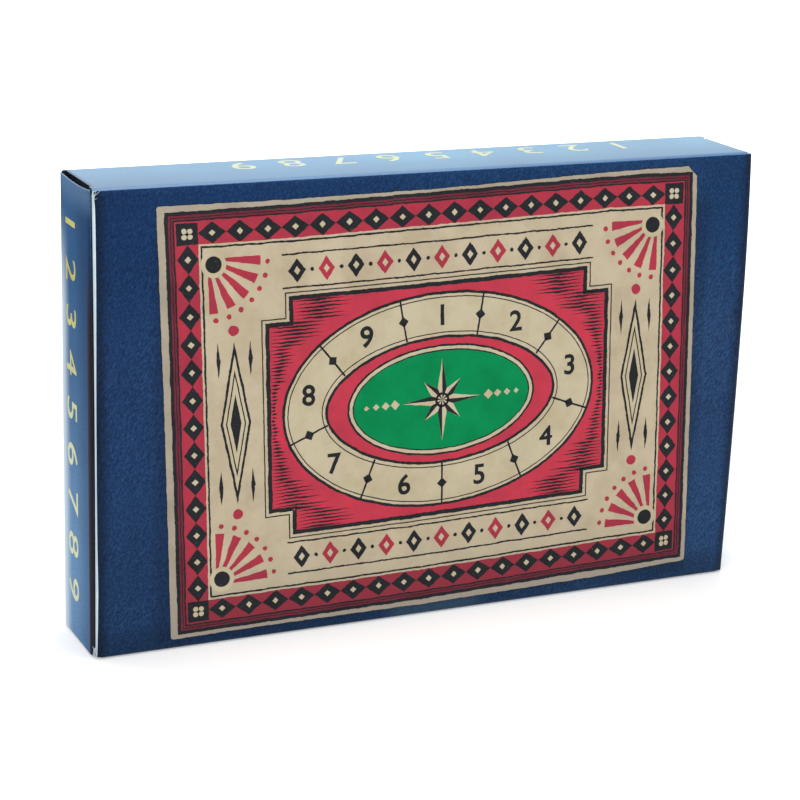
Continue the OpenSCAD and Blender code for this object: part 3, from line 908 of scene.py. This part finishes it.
def drawWings():
    # one tall lozenge at each side of the panel, with darts beside its points
    wide, tall = wings["half"]
    for way in (-1, 1):
        x = way * wings["away"]
        printLozenge("dark", x, 0, (wide, tall))
        for ink, part in (("pale", "pale"), ("fine", "line"), ("fine", "middle")):
            face = printLozenge(ink, x, 0, (wide * wings[part], tall * wings[part]))
            if part == "line":
                hollow(sheets[ink], [face], wings["lineWidth"])
        for level in (-1, 1):
            printRound("red", x, level * (tall + wings["beadGap"]), wings["bead"], 16)
            for side in (-1, 1):
                printRound("dark", x + side * wings["dartAway"],
                           level * (tall - wings["dartIn"]), wings["dart"], 4,
                           wings["dartSlim"])


def laySheet(sheet, name, place, body, height, wander, finish, sag=None):
    # carries a flat drawing to its place, cuts it on the board's grid and bends it with it
    outward = (place.to_3x3() @ Vector((0, 0, 1))).normalized()
    bmesh.ops.transform(sheet, matrix=place, verts=sheet.verts)
    bmesh.ops.remove_doubles(sheet, verts=sheet.verts, dist=1e-6)
    step = picture["grid"]
    cutOnGrid(sheet, [0 if abs(outward[axis]) > 0.5 else step for axis in range(3)])
    long = [edge for edge in sheet.edges
            if edge.is_boundary and edge.calc_length() * 1000 > 2 * picture["boundary"]]
    bmesh.ops.subdivide_edges(sheet, edges=long, cuts=2)
    fine, coarse = (perSize(length) for length in picture["raggedness"])
    for vert in sheet.verts:
        if vert.is_boundary:
            stray = (noise.noise_vector(vert.co * fine)
                     + noise.noise_vector(vert.co * coarse)) * wander / 1000
            vert.co += stray - outward * stray.dot(outward)
        vert.co += outward * height / 1000
    boxHeight = carton["size"][2] / 1000
    for vert in sheet.verts:
        if sag:
            upper, lower = (reachAt(vert.co.x * 1000, table) for table in sag)
            vert.co.z -= (lower + (upper - lower) * vert.co.z / boxHeight) / 1000
        vert.co = settle(vert.co)
    film = finishPiece(sheet, name, body, [finish]).modifiers.new("film", "SOLIDIFY")
    film.thickness = (height - picture["filmGap"]) / 1000
    film.offset, film.use_even_offset = -1, False


drawBorder()
drawFans()
drawPanel()
drawShading()
drawTrack()
drawRoundel()
drawRows()
drawWings()
onFront = (Matrix.Translation((0, -carton["size"][1] / 2000, 0))
           @ Matrix.Rotation(math.radians(90), 4, "X") @ Matrix.Scale(0.001, 4))
for ink, (height, wander, finish) in inks.items():
    for vert in sheets[ink].verts:
        vert.co = skew(vert.co)
    laySheet(sheets[ink], "picture_" + ink, onFront, "carton", height, wander, finish,
             picture["sheetSag" if ink in ("under", "stock") else "frameSag"])
print("front picture printed")

# ---- plain numerals on the left end and the top ----
sideNumerals = {
    "size": 12.5, "widen": 1.2, "height": 0.03, "weight": 0.004, "wander": 0.05,
    "endPitch": 12.9, "endDepth": 4.5, "endMiddle": 66,
    "topPitch": 14.6, "topDepth": 5.5, "topMiddle": 7,
}
# the gold runs pale towards the lower numerals: a painted glare
goldInk = letterpressInk("old_gold_ink", "#bfba68", "#b3ad5e", "#8f9b72", 0.3,
                         ("#cdd2aa", 100, 50), 0.5)
paleGoldInk = letterpressInk("pale_gold_ink", "#d3dabb", "#c6cdb0", "#9db5ba", 0.35,
                             roughness=0.5)


def numeralRow(name, body, place, pitch, finish):
    sheet = bmesh.new()
    for number in range(1, 10):
        spot = placeOf((number - 5) * pitch, 0, 0, sideNumerals["widen"], 1)
        printNumeral(sheet, str(number), spot, sideNumerals["size"], sideNumerals["weight"])
    laySheet(sheet, name, place @ Matrix.Scale(0.001, 4), body, sideNumerals["height"],
             sideNumerals["wander"], finish)


cartonLength, _, cartonHeight = carton["size"]
downTheEnd = Matrix(((0, 0, -1, -cartonLength / 2000),
                     (0, -1, 0, sideNumerals["endDepth"] / 1000),
                     (-1, 0, 0, sideNumerals["endMiddle"] / 1000), (0, 0, 0, 1)))
alongTheTop = Matrix(((-1, 0, 0, sideNumerals["topMiddle"] / 1000),
                      (0, -1, 0, sideNumerals["topDepth"] / 1000),
                      (0, 0, 1, cartonHeight / 1000), (0, 0, 0, 1)))
numeralRow("left_end_numerals", "left_end", downTheEnd, sideNumerals["endPitch"], goldInk)
numeralRow("top_numerals", "carton", alongTheTop, sideNumerals["topPitch"], paleGoldInk)
print("side numerals printed")

# ---- torn fibres where the board was pulled at the two left corners ----
fibres = {
    # root, tip and width of each
    "white": [((-99.2, -14.0, 126.6), (-99.0, -14.1, 128.9), 0.4),
              ((-99.1, -14.0, 128.0), (-97.6, -14.4, 129.6), 0.13),
              ((-99.1, -13.9, 127.4), (-98.5, -14.1, 129.4), 0.16),
              ((-99.2, -13.9, 127.9), (-99.4, -13.6, 129.6), 0.13),
              ((-99.0, -14.1, 127.5), (-98.1, -14.4, 127.7), 0.12),
              ((-99.6, -13.6, 3.6), (-99.95, -12.6, 1.7), 0.3),
              ((-99.6, -13.8, 2.8), (-99.95, -11.9, 1.2), 0.26),
              ((-99.7, -12.7, 2.9), (-99.96, -13.1, 0.7), 0.26),
              ((-99.6, -13.9, 3.9), (-99.9, -13.5, 0.9), 0.2),
              ((-99.7, -13.3, 3.0), (-99.97, -12.3, 3.6), 0.2)],
    "brown": [((-99.6, -13.6, 127.2), (-99.93, -12.2, 128.3), 0.16),
              ((-99.6, -13.4, 126.4), (-99.93, -12.0, 126.8), 0.13),
              ((-99.6, -13.5, 125.5), (-99.93, -12.4, 125.1), 0.13)],
    "thick": 0.08, "curl": 0.25, "curlSize": 0.7, "tipThin": 0.85,
    "furthest": -99.95,      # none reaches further left, out of the box
}


def tearFibres(name, strands, body, finish):
    mesh = bmesh.new()
    for root, tip, width in strands:
        root, tip = Vector(root) / 1000, Vector(tip) / 1000
        strand = tip - root
        side = strand.cross(Vector((0.3, -1, 0.1))).normalized() * width / 2000
        made = bmesh.ops.create_grid(mesh, x_segments=1, y_segments=6, size=0.5)
        for vert in made["verts"]:
            share = vert.co.y + 0.5
            spine = root + strand * share
            curl = noise.noise_vector(spine * perSize(fibres["curlSize"])) * share
            across = side * 2 * vert.co.x * (1 - share * fibres["tipThin"])
            vert.co = spine + across + curl * fibres["curl"] / 1000
            vert.co.x = max(vert.co.x, fibres["furthest"] / 1000)
    strip = finishPiece(mesh, name, body, [finish]).modifiers.new("strip", "SOLIDIFY")
    strip.thickness, strip.offset = fibres["thick"] / 1000, 0


tearFibres("torn_white_fibres", fibres["white"], "carton", cutBoard)
tearFibres("torn_brown_fibres", fibres["brown"], "left_end",
           rawBoard("torn_brown_board", "#4a3526", "#33241b", "#2a1d16"))
print("torn fibres added")


# ---- wooden tray ----
def sawnWood(name, values):
    # Planed hardwood under thin wax: long growth streaks, short darker pores along the grain
    material, tree, shader, place = startMaterial(name, values["roughness"], **{
        "Specular IOR Level": 0.35})
    along = values["along"]
    streakSize, poreSize = [values["streak"]] * 3, [values["pore"]] * 3
    streakSize[along], poreSize[along] = values["streakLength"], values["poreLength"]
    streaked = addNode(tree, "Mapping", {"Scale": [perSize(s) for s in streakSize]},
                       {"Vector": place})
    streak = addNode(tree, "TexNoise", {"Scale": 1, "Detail": 5, "Roughness": 0.6,
                                        "Distortion": 0.6}, {"Vector": streaked.outputs[0]})
    pored = addNode(tree, "Mapping", {"Scale": [perSize(s) for s in poreSize]},
                    {"Vector": place})
    pore = addNode(tree, "TexNoise", {"Scale": 1, "Detail": 1}, {"Vector": pored.outputs[0]})
    ground = addNode(tree, "ValToRGB", {"stops": [
        (0.28, values["dark"]), (0.5, values["ground"]), (0.72, values["light"])]},
        {"Fac": streak.outputs["Fac"]})
    pores = addNode(tree, "MapRange", {"From Min": 0.62, "From Max": 0.74,
                                       "To Max": values["poreDepth"]},
                    {"Value": pore.outputs["Fac"]})
    mixed = addNode(tree, "Mix", {"data_type": "RGBA", 7: values["poreColour"]},
                    {0: pores.outputs[0], 6: ground.outputs[0]})
    finishMaterial(tree, shader, mixed.outputs[2], pores.outputs[0], 0.5, 0.06, True)
    return material


beech = {
    "dark": "#c39a66", "ground": "#d2ad7b", "light": "#dfc093", "poreColour": "#8f6238",
    "along": 0, "streak": 2.6, "streakLength": 60, "pore": 0.28, "poreLength": 2.4,
    "poreDepth": 0.7, "roughness": 0.5,
}
maple = {**beech, "dark": "#dcc49b", "ground": "#e6d3ae", "light": "#efe0c0",
         "poreColour": "#b99668", "along": 2, "poreDepth": 0.4}
birchPly = {**beech, "dark": "#c9a877", "ground": "#d8bd8f", "light": "#e2cba1",
            "streak": 5, "streakLength": 90, "roughness": 0.62}
beechAcross = sawnWood("waxed_beech_lengthwise", beech)
beechUpright = sawnWood("waxed_beech_upright", {**beech, "along": 2})
mapleTile = sawnWood("sanded_maple_tile", maple)
mapleDie = sawnWood("sanded_maple_die", {**maple, "roughness": 0.42})
plywood = sawnWood("rotary_cut_birch_plywood", birchPly)


def pressedFelt():
    # Pressed wool felt: matted fibres a few tenths of a millimetre thick, soft at a glance
    material, tree, shader, place = startMaterial("pressed_green_felt", 0.95, **{
        "Specular IOR Level": 0.1, "Sheen Weight": 0.25, "Sheen Roughness": 0.6})
    mat = addNode(tree, "TexNoise", {"Scale": perSize(0.45), "Detail": 4, "Distortion": 3},
                  {"Vector": place})
    cloud = addNode(tree, "TexNoise", {"Scale": perSize(11), "Detail": 3}, {"Vector": place})
    tone = addNode(tree, "ValToRGB", {"stops": [(0.3, "#067a41"), (0.7, "#149a5a")]},
                   {"Fac": mat.outputs["Fac"]})
    drift = addNode(tree, "ValToRGB", {"stops": [(0.3, "#d4ddd6"), (0.7, "#ffffff")]},
                    {"Fac": cloud.outputs["Fac"]})
    mixed = addNode(tree, "Mix", {"data_type": "RGBA", "blend_type": "MULTIPLY", 0: 1},
                    {6: tone.outputs[0], 7: drift.outputs[0]})
    finishMaterial(tree, shader, mixed.outputs[2], mat.outputs["Fac"], 0.8, 0.25)
    return material


def drawnSteel():
    # Cold drawn steel wire: bright grey with fine die lines along its length
    material, tree, shader, place = startMaterial("drawn_steel_wire", 0.28, Metallic=1)
    drawn = addNode(tree, "Mapping", {"Scale": [perSize(s) for s in (40, 0.12, 0.12)]},
                    {"Vector": place})
    line = addNode(tree, "TexNoise", {"Scale": 1, "Detail": 2}, {"Vector": drawn.outputs[0]})
    tone = addNode(tree, "ValToRGB", {"stops": [(0.3, "#8f9499"), (0.7, "#c3c7ca")]},
                   {"Fac": line.outputs["Fac"]})
    finishMaterial(tree, shader, tone.outputs[0], line.outputs["Fac"], 0.3, 0.01)
    return material


def foldedPaper():
    # Uncoated offset paper: warm white with faint cloudy formation and fine tooth
    material, tree, shader, place = startMaterial("uncoated_leaflet_paper", 0.8, **{
        "Specular IOR Level": 0.15})
    cloud = addNode(tree, "TexNoise", {"Scale": perSize(3), "Detail": 5}, {"Vector": place})
    tone = addNode(tree, "ValToRGB", {"stops": [(0.3, "#e3dfd3"), (0.7, "#f2efe6")]},
                   {"Fac": cloud.outputs["Fac"]})
    tooth = addNode(tree, "TexNoise", {"Scale": perSize(0.3), "Detail": 2}, {"Vector": place})
    finishMaterial(tree, shader, tone.outputs[0], tooth.outputs["Fac"], 0.4, 0.03)
    return material


def paint(node, finish):
    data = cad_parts[node].data
    data.materials.clear()
    data.materials.append(finish)


for node in ("lower_rail", "upper_rail", "tile_ledge"):
    paint(node, beechAcross)
for node in ("left_rail", "right_rail"):
    paint(node, beechUpright)
paint("tray_base", plywood)
paint("playing_felt", pressedFelt())
paint("tile_rod", drawnSteel())
paint("rules_leaflet", foldedPaper())

# ---- number tiles, each with its printed numeral ----
tile = {"numeral": 14, "height": 0.03, "upFromTip": 15}
tileInk = letterpressInk("tile_stamping_ink", "#23211f", "#1b1a19", "#6d6253", 0.35)
for number in range(1, 10):
    node = f"number_tile_{number}"
    paint(node, mapleTile)
    low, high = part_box(node)
    sheet = bmesh.new()
    printNumeral(sheet, str(number), placeOf(0, 0), tile["numeral"])
    spot = Matrix.Translation(((low.x + high.x) / 2, low.y, low.z + tile["upFromTip"] / 1000))
    bmesh.ops.transform(sheet, verts=sheet.verts, matrix=spot
                        @ Matrix.Rotation(math.radians(90), 4, "X") @ Matrix.Scale(0.001, 4))
    for vert in sheet.verts:
        vert.co.y -= tile["height"] / 1000
    stamped = finishPiece(sheet, f"tile_numeral_{number}", f"tile_{number}", [tileInk])
    film = stamped.modifiers.new("film", "SOLIDIFY")
    film.thickness, film.offset = tile["height"] / 1000, -1

# ---- dice with painted pips ----
die = {"pipReach": 5.5, "pipSunk": 0.01, "smoothBelow": 30}
pipPaint = letterpressInk("pip_paint", "#1d1c1c", "#161516", "#4a4541", 0.2, roughness=0.35)
for node in ("left_die", "right_die"):
    low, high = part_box(node)
    middle, half = (low + high) / 2, (high.x - low.x) / 2
    mesh = copyOfNode(node)
    for face in mesh.faces:
        *sideways, outwards = sorted(abs(c) for c in face.calc_center_median() - middle)
        sunk = half - outwards > die["pipSunk"] / 1000
        inPip = sunk and math.hypot(*sideways) * 1000 < die["pipReach"]
        face.material_index = 1 if inPip else 0
    shadeSmooth(mesh, die["smoothBelow"])
    finishPiece(mesh, node + "_piece", node, [mapleDie, pipPaint], node)
print("tray, tiles, dice and leaflet finished")

# ---- studio: pale floor, white surroundings, soft lamps ----
studio = {
    "floorSize": 12, "floorNear": 0.2, "floorFar": 0.6, "nearGlow": 0.16, "worldLevel": 0.62,
    "lamps": {   # place and aim in metres, watts, side in metres
        "overhead": ((0.0, 0.05, 1.0), (0, 0, 0.1), 6.0, 0.9),
        "front_left": ((-0.9, -1.1, 0.8), (0, 0, 0.06), 9.0, 0.9),
        "front_right": ((0.8, -1.3, 0.5), (0, 0, 0.06), 4.0, 0.8),
    },
}


def makeFloor():
    mesh = bmesh.new()
    bmesh.ops.create_grid(mesh, x_segments=1, y_segments=1, size=studio["floorSize"] / 2)
    material, tree, shader, place = startMaterial("matt_white_floor", 0.9, **{
        "Base Color": "#f4f4f4", "Specular IOR Level": 0.0, "Emission Color": "#ffffff"})
    # away from the carton the floor runs out into the white of the surroundings
    distance = addNode(tree, "VectorMath", {"operation": "LENGTH"}, {0: place})
    spread = addNode(tree, "MapRange", {
        "From Min": studio["floorNear"], "From Max": studio["floorFar"],
        "To Min": studio["nearGlow"], "To Max": 1}, {"Value": distance.outputs["Value"]})
    path = addNode(tree, "LightPath")
    glow = addNode(tree, "Math", {"operation": "MULTIPLY"},
                   {0: path.outputs["Is Camera Ray"], 1: spread.outputs[0]})
    tree.links.new(glow.outputs[0], shader.inputs["Emission Strength"])
    addObject(mesh, "floor", [material])


def makeWorld():
    world = bpy.data.worlds.new("white_surroundings")
    bpy.context.scene.world = world
    world.use_nodes = True
    tree = world.node_tree
    tree.nodes.clear()
    path = addNode(tree, "LightPath")
    seen = addNode(tree, "Math", {"operation": "MAXIMUM"}, {
        0: path.outputs["Is Camera Ray"], 1: path.outputs["Is Glossy Ray"]})
    seen = addNode(tree, "Math", {"operation": "MAXIMUM"}, {
        0: seen.outputs[0], 1: path.outputs["Is Transmission Ray"]})
    level = addNode(tree, "MapRange", {"To Min": studio["worldLevel"], "To Max": 1},
                    {"Value": seen.outputs[0]})
    sky = addNode(tree, "Background", {"Color": "#ffffff"}, {"Strength": level.outputs[0]})
    addNode(tree, "OutputWorld", links={"Surface": sky.outputs[0]})


def makeLamps():
    for name, (spot, aim, watts, side) in studio["lamps"].items():
        lamp = bpy.data.lights.new(name, "AREA")
        lamp.shape, lamp.size, lamp.energy = "SQUARE", side, watts
        holder = bpy.data.objects.new(name, lamp)
        holder.location = spot
        holder.rotation_euler = (Vector(aim) - Vector(spot)).to_track_quat("-Z", "Y").to_euler()
        bpy.context.scene.collection.objects.link(holder)


makeFloor()
makeWorld()
makeLamps()
bpy.context.scene.view_settings.view_transform = "Standard"
print("studio lit")
